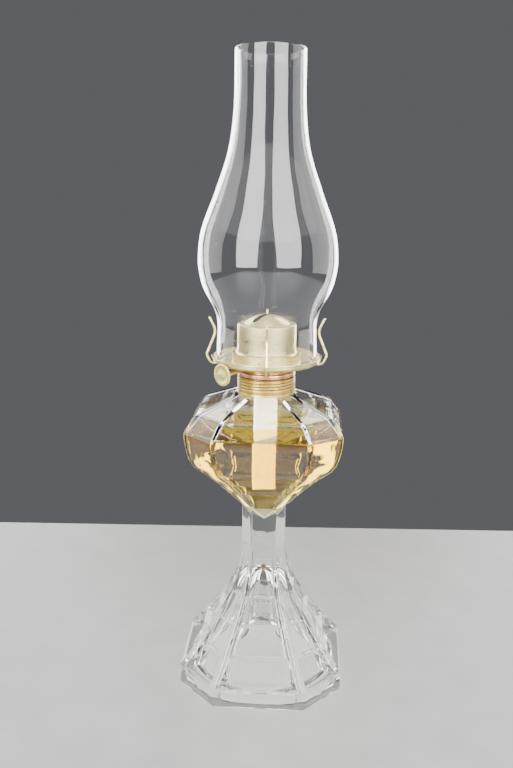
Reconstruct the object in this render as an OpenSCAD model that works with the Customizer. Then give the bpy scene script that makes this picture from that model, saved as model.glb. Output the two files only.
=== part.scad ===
// Pressed-glass kerosene table lamp with a flat-wick burner and a glass chimney.
// Millimetres. +Z is up and the origin is the middle of the foot's underside, on the table.
// The long sides of the eight-sided glass face along X and Y, and the front is -Y.

/* [Foot] */
// Width of the foot across its long sides
foot_w = 124; // [112:1:136]
// Half of a long side at the foot, as a share of the half width
foot_side_share = 0.54; // [0.45:0.01:0.6]
// Height of the upright skirt at the bottom
skirt_h = 14.5; // [11:0.5:18]
// How far each side of the skirt leans in by its top
skirt_draft = 0.7; // [0:0.1:1.5]
// Depth of the recessed panel on each side of the skirt
skirt_panel_depth = 0.8; // [0.3:0.1:1.5]
// Height of each of the steps above the skirt
step_rise = [16.5, 19, 19, 17.5]; // [15:0.5:20]
// Depth of the tread at the foot of each step
tread_w = [10.3, 3.5, 2.5, 1.8]; // [1.2:0.1:11]
// How far the steps' top edges lie inside the corner ribs
rib_proud = 0.7; // [0.3:0.1:1.5]
// Height above the last step at which the flare has become the stem
flare_fade_h = 19.5; // [12:0.5:26]
// Power of the flare's curve, where more is a deeper hollow
flare_power = 1.85; // [1.6:0.05:2.1]
// How far the flare swells outside that curve above the second step
flare_swell = 2.6; // [0:0.1:3.2]
// Least thickness of glass between the steps and the hollow underneath
foot_wall = 4.5; // [3.5:0.1:6]
// Width of the rim that the foot stands on, at the middle of a long side
foot_rim_w = 7; // [5:0.5:10]

/* [Stem] */
// Width of the stem across its long sides
stem_w = 32.8; // [29:0.2:37]
// Half of a long side of the stem, as a share of its half width
stem_side_share = 0.58; // [0.5:0.01:0.64]
// Length of straight stem below the seam with the fount
stem_lower_h = 18; // [12:0.5:28]
// Length of straight stem above the seam, up to the bowl
stem_upper_h = 15.5; // [12:0.5:22]

/* [Fount] */
// Width of the fount across its long sides at its ridge
fount_w = 114; // [106:1:124]
// Half of a long side of the fount, as a share of its half width
fount_side_share = 0.62; // [0.55:0.01:0.66]
// Height of the bowl from the stem to its widest ridge
bowl_h = 63.5; // [58:0.5:72]
// Height of the sloping shoulder above the ridge
shoulder_h = 11.8; // [9:0.2:15]
// Width across the long sides at the top of the shoulder
shoulder_w = 97; // [90:1:102]
// Height of the low crown from the shoulder to the collar
crown_h = 12; // [9:0.2:15]
// Thickness of the fount's wall
fount_wall = 4; // [3:0.1:5]
// Depth of the tread under each step of the bowl
bowl_tread_w = 2.6; // [1.5:0.1:3.5]
// Depth that the pointed end of the fount's hollow reaches below the bowl
point_depth = 12.5; // [8:0.5:14]
// Outer diameter of the glass neck inside the collar
neck_d = 35; // [33:0.5:37]
// Bore of the glass neck
neck_bore_d = 29; // [27.5:0.5:30]
// Height of the glass neck
neck_h = 5.5; // [4:0.5:6]
// Depth of the oil surface below the fount's ridge
oil_below_ridge = 0; // [0:1:30]

/* [Collar and thread] */
// Outer diameter of the collar over its thread
collar_d = 43; // [42:0.5:46]
// Height of the collar
collar_h = 12.7; // [11.5:0.1:14]
// Thickness of the brass sheet
sheet = 0.6; // [0.4:0.05:0.8]
// Pitch of the rolled thread
thread_pitch = 2.2; // [1.6:0.1:2.8]
// Depth of the rolled thread
thread_depth = 0.5; // [0.3:0.05:0.6]
// Radial clearance between the collar's thread and the burner's
thread_clear = 0.15; // [0.1:0.05:0.3]
// Clearance between the neck of glass and the burner's screw shell
shell_over_neck = 0.6; // [0.4:0.1:1.2]

/* [Burner] */
// How far the burner is turned in its collar, in degrees
burner_turn = 2.8; // [0:0.1:10]
// Diameter of the copper-coloured bead ring
bead_d = 42.6; // [41.5:0.1:44]
// Height of the bead ring
bead_h = 3.7; // [3:0.1:4.5]
// Height of the air basket between the bead ring and the gallery
basket_h = 6.2; // [5.8:0.1:8]
// Diameter of the gallery's rim at the bottom
gallery_d = 79; // [78:0.5:84]
// Height of the gallery's rim
gallery_h = 4.4; // [3.5:0.1:6]
// Width of the gallery's out-turned lip
lip_w = 0.9; // [0.5:0.1:1.5]
// Diameter of the gallery's inner collar, which carries the deflector
inner_collar_d = 50.8; // [49.5:0.2:53]
// Height of the gallery's inner collar
inner_collar_h = 6.6; // [5:0.2:8]
// Number of air holes round the basket
basket_holes = 24; // [16:1:30]
// Diameter of the air holes
air_hole_d = 1.8; // [1.2:0.1:2.2]

/* [Deflector] */
// Diameter of the deflector's upright skirt
deflector_d = 43; // [41:0.5:45]
// Height of the deflector up to its shoulder
deflector_skirt_h = 21.8; // [19:0.2:25]
// Diameter of the dome at its base
dome_d = 33.6; // [32:0.2:36]
// Height of the dome above the shoulder
dome_h = 6.8; // [5.5:0.1:8]
// Length of the flame slot
slot_len = 28.4; // [27.6:0.2:30]
// Width of the flame slot
slot_w = 5; // [4.4:0.2:6]

/* [Wick and its drive] */
// Width of the flat wick
wick_w = 25.4; // [24:0.1:26]
// Thickness of the wick
wick_t = 2.4; // [2:0.1:2.8]
// Length of the wick that hangs below the screw shell
wick_hang = 73; // [50:1:78]
// Height of the wick's end above its tube
wick_out = 1.2; // [0:0.1:3]
// Travel of the wick up or down from rest
wick_travel = 10; // [5:0.5:12]
// Clearance between the wick and its tube
wick_clear = 0.3; // [0.2:0.05:0.4]
// Azimuth of the shaft to the left of the front, in degrees
shaft_azimuth = 42; // [35:1:55]
// Diameter of the shaft
shaft_d = 2; // [1.6:0.1:2.4]
// Radial running clearance of the shaft and of the prongs in their bores
bore_clear = 0.05; // [0.03:0.01:0.08]
// Diameter of the toothed wheels over their points
spur_d = 6.4; // [5.8:0.2:7.4]
// Number of teeth of each toothed wheel
spur_teeth = 12; // [8:1:16]
// Diameter of the thumbwheel
thumb_d = 16; // [13:0.5:19]
// Thickness of the thumbwheel
thumb_t = 1.3; // [1:0.1:2]
// Gap between the thumbwheel and the gallery's lip
thumb_gap = 0.5; // [0.3:0.1:3]
// Length of the thumbwheel's tapered hub
hub_len = 18; // [10:0.5:20]
// Diameter of the vent tube
vent_d = 4; // [3:0.2:4.6]

/* [Prongs] */
// Diameter of the prongs' wire
wire_d = 1.7; // [1.4:0.1:2]
// Radius of the inside bends of the wire
bend_r = 3; // [2:0.2:4]
// Length of each prong's cross bar
cross_bar = 6.6; // [6.2:0.2:8]
// Free gap between the prongs and the chimney's foot
prong_gap = 0.2; // [0.15:0.05:0.5]
// Height above the gallery's floor at which the prongs meet the chimney
prong_touch_h = 21.4; // [18:0.2:25]
// Length of the flared tip beyond that point
prong_tip = 10.5; // [7:0.5:13]

/* [Chimney] */
// Outer diameter at the chimney's foot, the fitter size less its play
chimney_foot_d = 74; // [73:0.5:75]
// Outer diameter of the waist above the prongs
waist_d = 72.8; // [71:0.2:74]
// Outer diameter of the bulb
bulb_d = 100.4; // [95:0.2:106]
// Outer diameter at the top
chimney_top_d = 48.8; // [46:0.2:54]
// Height of the chimney
chimney_h = 214; // [205:1:222]
// Height of the bulb's widest ring above the chimney's foot
bulb_z = 73; // [68:1:80]
// Thickness of the blown glass
chimney_wall = 1.9; // [1.5:0.1:2.5]

/* [Hidden] */

$fn = 96;
eps = 0.01;

// Small fixed clearances between pieces that are seated or soldered
seat_gap = 0.05;
soft_gap = 0.2;

// Heights above the table, from the foot up
foot_r = foot_w / 2;
stem_r = stem_w / 2;
skirt_r = foot_r - skirt_draft;
function sum_to(v, n) = n < 1 ? 0 : v[n - 1] + sum_to(v, n - 1);
steps = len(step_rise);
function step_z(i) = skirt_h + sum_to(step_rise, i);
flare_top_z = step_z(steps) + flare_fade_h;
seam_z = flare_top_z + stem_lower_h;
bowl_z = seam_z + stem_upper_h;
ridge_z = bowl_z + bowl_h;
shoulder_z = ridge_z + shoulder_h;
crown_z = shoulder_z + crown_h;
neck_top_z = crown_z + neck_h;
collar_top_z = crown_z + collar_h;
burner_z = collar_top_z + 2 * seat_gap;
bead_top_z = burner_z + bead_h;
gallery_z = bead_top_z + basket_h;
gallery_floor_z = gallery_z + sheet;
inner_collar_z = gallery_z + inner_collar_h;
deflector_top_z = inner_collar_z + deflector_skirt_h;
dome_top_z = deflector_top_z + dome_h;
chimney_z = gallery_floor_z + 2 * seat_gap;

// Corner rib of the foot: half width across the flats at height z
tread_rise = 0.8;
swell_z = step_z(1) + 10;
swell_spread = 10;
function flare_t(z) = min(1, max(0, (z - skirt_h) / (flare_top_z - skirt_h)));
function rib_r(z) = z <= skirt_h
    ? foot_r - skirt_draft * z / skirt_h
    : stem_r + (skirt_r - stem_r) * pow(1 - flare_t(z), flare_power)
        + flare_swell * exp(-pow((z - swell_z) / swell_spread, 2));
function foot_share(z) = foot_side_share + (stem_side_share - foot_side_share) * flare_t(z);
function rib_w(h) = 1 + 0.055 * h;

// One ring of an eight-sided body with ribs at its corners. h is the half width at the ribs,
// a is half of a long side and e is how deep the panels between the ribs lie.
function corner(h, a, k) = let (q = floor(k / 2), s = k % 2 == 0
    ? [h, a] : [a, h]) q % 4 == 0 ? s : q % 4 == 1 ? (k % 2 == 0 ? [-a, h] : [-h, a])
    : q % 4 == 2 ? (k % 2 == 0 ? [-h, -a] : [-a, -h]) : (k % 2 == 0 ? [a, -h] : [h, -a]);
function unit(v) = v / norm(v);
function ring(z, h, a, e) = [
    for (k = [0 : 7])
        let (
            c = corner(h, a, k),
            n = corner(h, a, (k + 1) % 8),
            t = unit(n - c),
            inward = [-t[1], t[0]],
            w = rib_w(h),
            s = w + 0.4 + 0.5 * e
        )
        for (p = [c, c + w * t, c + s * t + e * inward, n - s * t + e * inward, n - w * t])
            [p[0], p[1], z]
];
function plain_ring(z, h, a) = [for (k = [0 : 7]) let (c = corner(h, a, k)) [c[0], c[1], z]];

// Closed solid through a list of rings of equal length, with flat ends
function middle(ring) = [for (p = ring) 1] * ring / len(ring);
module loft(rings) {
    n = len(rings[0]);
    m = len(rings);
    bottom = n * m;
    top = n * m + 1;
    polyhedron(
        points = concat(
            [for (r = rings) for (p = r) p],
            [middle(rings[0]), middle(rings[m - 1])]
        ),
        faces = concat(
            [for (j = [0 : n - 1]) [j, (j + 1) % n, bottom]],
            [for (i = [0 : m - 2]) for (j = [0 : n - 1])
                [i * n + j, (i + 1) * n + j, (i + 1) * n + (j + 1) % n]],
            [for (i = [0 : m - 2]) for (j = [0 : n - 1])
                [i * n + j, (i + 1) * n + (j + 1) % n, i * n + (j + 1) % n]],
            [for (j = [0 : n - 1]) [(m - 1) * n + (j + 1) % n, (m - 1) * n + j, top]]
        ),
        convexity = 10
    );
}

// Smooth curve through hand-chosen [z, r] stations, with k short pieces between two stations
function slope(s, i) = i == 0 ? (s[1][1] - s[0][1]) / (s[1][0] - s[0][0])
    : i == len(s) - 1 ? (s[i][1] - s[i - 1][1]) / (s[i][0] - s[i - 1][0])
    : (s[i + 1][1] - s[i - 1][1]) / (s[i + 1][0] - s[i - 1][0]);
function between(s, i, u) = let (
        d = s[i + 1][0] - s[i][0],
        a = 2 * pow(u, 3) - 3 * pow(u, 2) + 1,
        b = pow(u, 3) - 2 * pow(u, 2) + u,
        c = -2 * pow(u, 3) + 3 * pow(u, 2),
        f = pow(u, 3) - pow(u, 2)
    )
    [s[i][0] + d * u, a * s[i][1] + b * d * slope(s, i) + c * s[i + 1][1] + f * d * slope(s, i + 1)];
function smooth(s, k) = concat(
    [for (i = [0 : len(s) - 2]) for (j = [0 : k - 1]) between(s, i, j / k)],
    [s[len(s) - 1]]
);

// Panels of the foot: half width at the top and at the bottom of each step
function step_top_r(i) = i == 0 ? skirt_r : rib_r(step_z(i)) - rib_proud;
function step_bottom_r(i) = step_top_r(i - 1) - tread_w[i - 1];
riser_cuts = 4;
foot_levels = concat(
    [
        [0, foot_r],
        [2.4, rib_r(2.4)],
        [3.4, rib_r(3.4) - skirt_panel_depth],
        [skirt_h - 2.6, rib_r(skirt_h - 2.6) - skirt_panel_depth],
        [skirt_h - 1.6, rib_r(skirt_h - 1.6)],
        [skirt_h, skirt_r]
    ],
    [for (i = [1 : steps]) for (j = [0 : riser_cuts])
        let (
            z0 = step_z(i - 1) + tread_rise,
            z1 = step_z(i),
            r0 = step_bottom_r(i),
            r1 = step_top_r(i)
        )
        [z0 + (z1 - z0) * j / riser_cuts, r0 + (r1 - r0) * j / riser_cuts]],
    [for (j = [1 : 5])
        let (z = step_z(steps) + flare_fade_h * j / 5)
        [z, rib_r(z) - rib_proud * (1 - j / 5)]],
    [[seam_z, stem_r]]
);

// Hollow under the foot, which follows the inner corners of the steps
hollow_top_z = step_z(steps) + 0.5;
hollow = concat(
    [
        [0, foot_r - foot_rim_w],
        [skirt_h * 0.55, foot_r - foot_rim_w - 2.2]
    ],
    [for (i = [1 : steps]) [step_z(i - 1) + tread_rise, step_bottom_r(i) - foot_wall]],
    [[hollow_top_z - 4, (step_bottom_r(steps) - foot_wall) * 0.5]]
);

module glass_foot() {
    color([0.86, 0.93, 0.87, 0.55])
    difference() {
        loft([for (l = foot_levels)
            ring(l[0], rib_r(l[0]), rib_r(l[0]) * foot_share(l[0]), rib_r(l[0]) - l[1])]);
        rotate_extrude()
            polygon(concat(
                [[0, -1], [foot_r - foot_rim_w, -1]],
                [for (p = smooth(hollow, 4)) [p[1], p[0]]],
                [[(step_bottom_r(steps) - foot_wall) * 0.28, hollow_top_z - 1], [0, hollow_top_z]]
            ));
    }
}

// Bowl of the fount: shares of the way from the stem to the ridge, in height and in half width
bowl_shape = [[0, 0], [0.2, 0.265], [0.405, 0.55], [0.585, 0.84], [0.79, 0.96], [1, 1]];
fount_r = fount_w / 2;
shoulder_r = shoulder_w / 2;
bowl_curve = [for (s = bowl_shape) [bowl_z + s[0] * bowl_h, stem_r + s[1] * (fount_r - stem_r)]];
bowl_cuts = 4;
bowl_line = smooth(bowl_curve, bowl_cuts);
function bowl_r(z) = z <= bowl_z ? stem_r : lookup(z, bowl_line);
function bowl_share(z) = stem_side_share
    + (fount_side_share - stem_side_share) * min(1, max(0, (z - bowl_z) / (bowl_h / 3)));

// Upside-down steps on the panels under the bowl
bowl_steps = 4;
bowl_step_rise = bowl_h * 0.165;
bowl_first_step = bowl_h * 0.06;
function bowl_step_z(i) = bowl_z + bowl_first_step + i * bowl_step_rise;
bowl_step_levels = [for (i = [0 : bowl_steps - 2]) for (j = [0 : 3])
    let (
        z0 = bowl_step_z(i) + (i == 0 ? 0 : tread_rise),
        z1 = bowl_step_z(i + 1),
        r0 = bowl_r(z0) - rib_proud,
        r1 = bowl_r(z1) - rib_proud - bowl_tread_w
    )
    [z0 + (z1 - z0) * j / 3, r0 + (r1 - r0) * j / 3]];
bowl_steps_end_z = bowl_step_z(bowl_steps - 1) + tread_rise;
belly_cuts = 8;
fount_levels = concat(
    [[seam_z, stem_r], [bowl_z, stem_r]],
    bowl_step_levels,
    [for (j = [0 : belly_cuts])
        let (z = bowl_steps_end_z + (ridge_z - bowl_steps_end_z) * j / belly_cuts)
        [z, bowl_r(z) - rib_proud * max(0, 1 - j / 3)]]
);

// Hollow of the fount, one wall's thickness inside the smooth bowl
wall_side_loss = (sqrt(2) - 1) * fount_wall;
hollow_start_z = bowl_z + 2;
function inner_r(z) = bowl_r(z) - fount_wall;
point_z = bowl_z - point_depth;
inner_levels = concat(
    [
        [point_z, 0.5],
        [bowl_z - point_depth * 0.45, inner_r(hollow_start_z) * 0.76],
        [hollow_start_z, inner_r(hollow_start_z)]
    ],
    [for (j = [1 : 12])
        let (z = hollow_start_z + (ridge_z - 1.2 - hollow_start_z) * j / 12)
        [z, inner_r(z)]]
);
function inner_ring(l, gap) = plain_ring(l[0], l[1] - gap,
    max(0.25, (l[1] - gap) * bowl_share(l[0]) - 0.04 * fount_wall));
shoulder_in_z = shoulder_z - fount_wall * 0.8;
crown_in_z = crown_z - fount_wall * 1.1;

module fount_hollow() {
    loft(concat(
        [for (l = inner_levels) inner_ring(l, 0)],
        [
            plain_ring(shoulder_in_z, shoulder_r - fount_wall,
                shoulder_r * fount_side_share - wall_side_loss),
            plain_ring(crown_in_z, neck_bore_d / 2 + 3, (neck_bore_d / 2 + 3) * fount_side_share)
        ]
    ));
    translate([0, 0, crown_in_z - 2])
        cylinder(d = neck_bore_d, h = neck_top_z - crown_in_z + 3);
}

module glass_fount() {
    color([0.97, 0.93, 0.78, 0.45])
    difference() {
        union() {
            loft(concat(
                [for (l = fount_levels)
                    ring(l[0], bowl_r(l[0]), bowl_r(l[0]) * bowl_share(l[0]), bowl_r(l[0]) - l[1])],
                [
                    ring(shoulder_z, shoulder_r, shoulder_r * fount_side_share, 0),
                    ring(crown_z, collar_d / 2 + 1, (collar_d / 2 + 1) * fount_side_share, 0)
                ]
            ));
            translate([0, 0, crown_z - eps])
                cylinder(d = neck_d, h = neck_h + eps);
        }
        fount_hollow();
    }
}

// The oil fills the hollow up to its level, and leaves room for the wick
oil_z = ridge_z - oil_below_ridge - 1.2;
oil_levels = [for (l = inner_levels) if (l[0] < oil_z - 1) l];

module lamp_oil() {
    color([0.93, 0.66, 0.16, 0.75])
    difference() {
        loft(concat(
            [for (l = oil_levels) inner_ring(l[0] == point_z ? [l[0] + soft_gap, l[1] + 0.2] : l, soft_gap)],
            [inner_ring([oil_z, inner_r(oil_z)], soft_gap)]
        ));
        wick_place(wick_bottom_z - wick_travel - 1, oil_z + 1, 0.5);
    }
}

// Rolled thread: radius of the sheet's outside at height z, and the sheet's section between heights
function thread_wave(z) = thread_depth * (1 - cos(360 * z / thread_pitch)) / 2;
thread_cuts = 6;
module threaded_sheet(r, z0, z1, phase) {
    n = ceil((z1 - z0) / thread_pitch * thread_cuts);
    outer = [for (i = [0 : n])
        let (z = z0 + (z1 - z0) * i / n) [r - thread_wave(z - z0 + phase * thread_pitch), z]];
    rotate_extrude()
        polygon(concat(outer, [for (i = [n : -1 : 0]) outer[i] - [sheet, 0]]));
}

collar_r = collar_d / 2;
collar_foot_h = 3;

module collar_plaster() {
    color([0.9, 0.88, 0.82])
    translate([0, 0, crown_z])
        difference() {
            cylinder(r = collar_r - thread_depth - sheet - seat_gap, h = neck_h);
            translate([0, 0, -1])
                cylinder(d = neck_d + 2 * seat_gap, h = neck_h + 2);
        }
}

module screw_collar() {
    color([0.72, 0.53, 0.2])
    union() {
        threaded_sheet(collar_r, crown_z + collar_foot_h, collar_top_z, 0);
        rotate_extrude()
            polygon([
                [collar_r - sheet, crown_z],
                [collar_r + 0.4, crown_z],
                [collar_r + 0.4, crown_z + 0.5],
                [collar_r, crown_z + 1.2],
                [collar_r, crown_z + collar_foot_h],
                [collar_r - sheet, crown_z + collar_foot_h]
            ]);
    }
}

// Everything of the burner is turned with it. Local -Y is the front prong's direction.
module burner_frame() {
    rotate([0, 0, burner_turn])
        children();
}

// Frame of the shaft: X runs outwards along it, Y away from the wick's face
module shaft_frame() {
    burner_frame()
        rotate([0, 0, -90 - shaft_azimuth])
            mirror([0, 1, 0])
                children();
}

// Round tube of outer radius r and wall w between two heights
module tube(r, w, z0, z1) {
    rotate_extrude()
        translate([r - w, z0])
            square([w, z1 - z0]);
}

// Flat bar with round edges, w wide along the shaft and t thick
module flat_bar(w, t) {
    square([w - t, t], center = true);
    for (s = [-1, 1])
        translate([s * (w - t) / 2, 0])
            circle(d = t, $fn = 48);
}

// Room for a wick between two heights, with a gap round it
module wick_place(z0, z1, gap) {
    shaft_frame()
        translate([0, 0, z0])
            linear_extrude(z1 - z0)
                flat_bar(wick_w + 2 * gap, wick_t + 2 * gap);
}

shell_r = collar_r - thread_depth - sheet - thread_clear;
shell_z = neck_top_z + shell_over_neck;
shell_throat_r = shell_r - thread_depth - 0.3;
shell_floor_z = shell_z + 0.4;
shell_band_h = 1.5;
tube_sheet = 0.3;
tube_in_w = wick_w + 2 * wick_clear;
tube_in_t = wick_t + 2 * wick_clear;
tube_w = tube_in_w + 2 * tube_sheet;
tube_t = tube_in_t + 2 * tube_sheet;
tube_bottom_z = shell_z - 9;
tube_top_z = deflector_top_z - 0.8;
wick_bottom_z = shell_z - wick_hang;
wick_top_z = tube_top_z + wick_out;
vent_at = [-7.5, -tube_t / 2 - vent_d / 2 - 2.2];

module screw_shell() {
    color([0.78, 0.6, 0.28])
    difference() {
        union() {
            threaded_sheet(shell_r, shell_z + shell_band_h, collar_top_z - sheet, 0.5);
            tube(shell_r - thread_depth, sheet, shell_z, shell_z + shell_band_h);
            translate([0, 0, shell_floor_z])
                cylinder(r = shell_r - thread_depth - sheet / 2, h = sheet);
            tube(shell_r, shell_r - shell_throat_r + sheet, collar_top_z - sheet, collar_top_z);
            tube(shell_throat_r, sheet, collar_top_z - sheet, bead_top_z);
        }
        shaft_frame() {
            translate([0, 0, shell_floor_z - 1])
                linear_extrude(sheet + 2)
                    flat_bar(tube_w + 2 * seat_gap, tube_t + 2 * seat_gap);
            translate([vent_at[0], vent_at[1], shell_floor_z - 1])
                cylinder(d = vent_d + 2 * seat_gap, h = sheet + 2);
        }
    }
}

bead_edge_r = 1.3;
bead_foot_cut = 0.5;

module bead_ring() {
    color([0.78, 0.48, 0.36])
    rotate_extrude()
        polygon(concat(
            [
                [shell_throat_r + seat_gap, burner_z],
                [bead_d / 2 - bead_foot_cut, burner_z],
                [bead_d / 2, burner_z + bead_foot_cut]
            ],
            [for (a = [0 : 15 : 90])
                [bead_d / 2 - bead_edge_r * (1 - cos(a)), bead_top_z - bead_edge_r * (1 - sin(a))]],
            [[shell_throat_r + seat_gap, bead_top_z]]
        ));
}

basket_r = shell_throat_r;
basket_top_r = inner_collar_d / 2;
shaft_z = bead_top_z + 1.5;

module air_basket() {
    color([0.83, 0.68, 0.38])
    difference() {
        rotate_extrude()
            polygon([
                [basket_r - sheet, bead_top_z],
                [basket_r, bead_top_z],
                [basket_r, bead_top_z + basket_h * 0.4],
                [basket_top_r, gallery_z],
                [basket_top_r - sheet * 1.6, gallery_z],
                [basket_r - sheet, bead_top_z + basket_h * 0.4 + sheet * 0.6]
            ]);
        for (i = [0 : basket_holes - 1])
            rotate([0, 0, (i + 0.5) * 360 / basket_holes])
                translate([(basket_r + basket_top_r) / 2 - 0.6, 0, bead_top_z + basket_h * 0.7])
                    rotate([0, 45, 0])
                        cylinder(d = air_hole_d, h = 8, center = true);
        shaft_bore();
    }
}

gallery_r = gallery_d / 2;

module gallery() {
    color([0.9, 0.84, 0.66])
    rotate_extrude()
        polygon([
            [basket_top_r - sheet, gallery_z],
            [gallery_r - 1.2, gallery_z],
            [gallery_r - 0.35, gallery_z + 0.35],
            [gallery_r, gallery_z + 1.2],
            [gallery_r, gallery_z + gallery_h - 0.9],
            [gallery_r + lip_w, gallery_z + gallery_h - 0.45],
            [gallery_r + lip_w, gallery_z + gallery_h],
            [gallery_r - sheet + 0.15, gallery_z + gallery_h - 0.4],
            [gallery_r - sheet, gallery_z + 1.5],
            [gallery_r - sheet - 0.9, gallery_floor_z],
            [basket_top_r, gallery_floor_z],
            [basket_top_r, inner_collar_z],
            [basket_top_r - sheet, inner_collar_z]
        ]);
}

plate_z = gallery_floor_z + 0.6;
plate_r = basket_top_r - sheet - seat_gap;
plate_rings = [[9, 14], [14.5, 20], [20, 30]];
plate_land = air_hole_d / 2 + 0.8;

module draft_plate() {
    color([0.8, 0.66, 0.4])
    difference() {
        translate([0, 0, plate_z])
            cylinder(r = plate_r, h = sheet);
        shaft_frame() {
            for (row = plate_rings)
                for (j = [0 : row[1] - 1])
                    let (x = row[0] * cos(j * 360 / row[1]), y = row[0] * sin(j * 360 / row[1]))
                    if (abs(x) > tube_w / 2 + plate_land || abs(y) > tube_t / 2 + plate_land)
                        translate([x, y, plate_z - 1])
                            cylinder(d = air_hole_d, h = sheet + 2, $fn = 24);
            translate([0, 0, plate_z - 1])
                linear_extrude(sheet + 2)
                    flat_bar(tube_w + 2 * seat_gap, tube_t + 2 * seat_gap);
        }
    }
}

// Deflector: flange, skirt, shoulder and dome of one sheet
deflector_r = deflector_d / 2;
flange_z = inner_collar_z + seat_gap;
flange_r = basket_top_r + 0.3;
dome_r = dome_d / 2;
dome_R = (pow(dome_r, 2) + pow(dome_h, 2)) / (2 * dome_h);
dome_half_angle = asin(dome_r / dome_R);
dome_cuts = 10;
shoulder_round = 1.5;
function dome_arc(inset) = [for (i = [dome_cuts : -1 : 0])
    let (t = dome_half_angle * i / dome_cuts)
    [(dome_R - inset) * sin(t), dome_top_z - dome_R + (dome_R - inset) * cos(t)]];
function shoulder_arc(inset) = [for (i = [0 : 4])
    let (t = 90 * i / 4)
    [
        deflector_r - shoulder_round + (shoulder_round - inset) * cos(t),
        deflector_top_z - shoulder_round + (shoulder_round - inset) * sin(t)
    ]];
skirt_flare = 1.1;
function deflector_side(inset) = concat(
    [
        [deflector_r + skirt_flare - inset, flange_z + sheet - inset],
        [deflector_r + skirt_flare * 0.3 - inset, flange_z + sheet + 1.6],
        [deflector_r - inset, flange_z + sheet + 4]
    ],
    shoulder_arc(inset),
    dome_arc(inset)
);

module deflector() {
    color([0.92, 0.88, 0.76])
    difference() {
        rotate_extrude()
            polygon(concat(
                [[flange_r, flange_z], [flange_r, flange_z + sheet]],
                deflector_side(0),
                [for (i = [len(deflector_side(0)) - 1 : -1 : 0]) deflector_side(sheet)[i]]
            ));
        shaft_frame()
            translate([0, 0, deflector_top_z + 0.3])
                linear_extrude(dome_h + 1)
                    flat_bar(slot_len, slot_w);
    }
}

// Wick drive
shaft_y = wick_t / 2 + soft_gap + spur_d / 2;
spur_x = wick_w / 4;
spur_t = 1;
housing_half_w = spur_x + 3.2;
housing_low_y = tube_t / 2 + seat_gap;
housing_high_y = shaft_y + spur_d / 2 + 0.5 + sheet;
housing_low_z = shaft_z - spur_d / 2 - 1;
housing_high_z = shaft_z + spur_d / 2 + 0.5 + sheet;
shaft_far_x = -housing_half_w - 1;
thumb_x = gallery_r + lip_w + thumb_gap + thumb_t / 2;

// A rod along the shaft's axis between two distances from the lamp's middle
module along_shaft(d, x0, x1, facets = 48) {
    shaft_frame()
        translate([x0, shaft_y, shaft_z])
            rotate([0, 90, 0])
                cylinder(d = d, h = x1 - x0, $fn = facets);
}

module shaft_bore() {
    along_shaft(shaft_d + 2 * bore_clear, shell_throat_r / 2, basket_top_r + 3);
}

module wick_tube() {
    color([0.82, 0.68, 0.42])
    difference() {
        shaft_frame()
            translate([0, 0, tube_bottom_z])
                linear_extrude(tube_top_z - tube_bottom_z)
                    difference() {
                        flat_bar(tube_w, tube_t);
                        flat_bar(tube_in_w, tube_in_t);
                    }
        wheel_windows();
    }
}

// Windows through which the toothed wheels reach the wick
window_reach = sqrt(pow(spur_d / 2, 2) - pow(shaft_y - tube_t / 2, 2)) + 0.6;
module wheel_windows() {
    shaft_frame()
        for (s = [-1, 1])
            translate([s * spur_x - spur_t / 2 - 0.4, tube_in_t / 2 - 0.2, shaft_z - window_reach])
                cube([spur_t + 0.8, tube_sheet + 1, 2 * window_reach]);
}

module vent_tube() {
    color([0.82, 0.68, 0.42])
    shaft_frame()
        translate([vent_at[0], vent_at[1], shell_floor_z - 4])
            difference() {
                cylinder(d = vent_d, h = plate_z - shell_floor_z + 1, $fn = 48);
                translate([0, 0, -1])
                    cylinder(d = vent_d - 2 * tube_sheet, h = plate_z - shell_floor_z + 3, $fn = 48);
            }
}

module wheel_housing() {
    color([0.8, 0.64, 0.36])
    difference() {
        shaft_frame()
            difference() {
                translate([-housing_half_w, housing_low_y, housing_low_z])
                    cube([
                        2 * housing_half_w,
                        housing_high_y - housing_low_y,
                        housing_high_z - housing_low_z
                    ]);
                translate([-housing_half_w + sheet, housing_low_y - 1, housing_low_z - 1])
                    cube([
                        2 * (housing_half_w - sheet),
                        housing_high_y - housing_low_y + 1 - sheet,
                        housing_high_z - housing_low_z + 1 - sheet
                    ]);
            }
        along_shaft(shaft_d + 2 * bore_clear, -housing_half_w - 1, housing_half_w + 1);
    }
}

module wick_shaft() {
    color([0.8, 0.74, 0.55])
    along_shaft(shaft_d, shaft_far_x, thumb_x + thumb_t / 2);
}

// Pointed wheel: an outline of points and hollows in turn
module toothed(d, depth, n) {
    polygon([for (i = [0 : 2 * n - 1])
        let (r = d / 2 - (i % 2) * depth)
        [r * cos(180 * i / n), r * sin(180 * i / n)]]);
}

module spur_wheels() {
    color([0.75, 0.62, 0.35])
    shaft_frame()
        for (s = [-1, 1])
            translate([s * spur_x - spur_t / 2, shaft_y, shaft_z])
                rotate([0, 90, 0])
                    linear_extrude(spur_t)
                        difference() {
                            toothed(spur_d, 0.8, spur_teeth);
                            circle(d = shaft_d + 0.04, $fn = 48);
                        }
}

module thumbwheel() {
    color([0.86, 0.82, 0.52])
    difference() {
        shaft_frame()
            translate([0, shaft_y, shaft_z])
                rotate([0, 90, 0]) {
                    translate([0, 0, thumb_x - thumb_t / 2])
                        difference() {
                            linear_extrude(thumb_t)
                                toothed(thumb_d, 0.25, 60);
                            for (s = [0, 1])
                                translate([0, 0, s * (thumb_t - 0.3) + (s - 1) * 0.1])
                                    difference() {
                                        cylinder(d = thumb_d - 2, h = 0.4);
                                        translate([0, 0, -1])
                                            cylinder(d = 4.6, h = 2);
                                    }
                        }
                    translate([0, 0, thumb_x - thumb_t / 2 - hub_len])
                        cylinder(d1 = shaft_d + 0.5, d2 = 4.2, h = hub_len + eps);
                }
        along_shaft(shaft_d + 0.04, thumb_x - hub_len - 3, thumb_x + thumb_t);
    }
}

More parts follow.
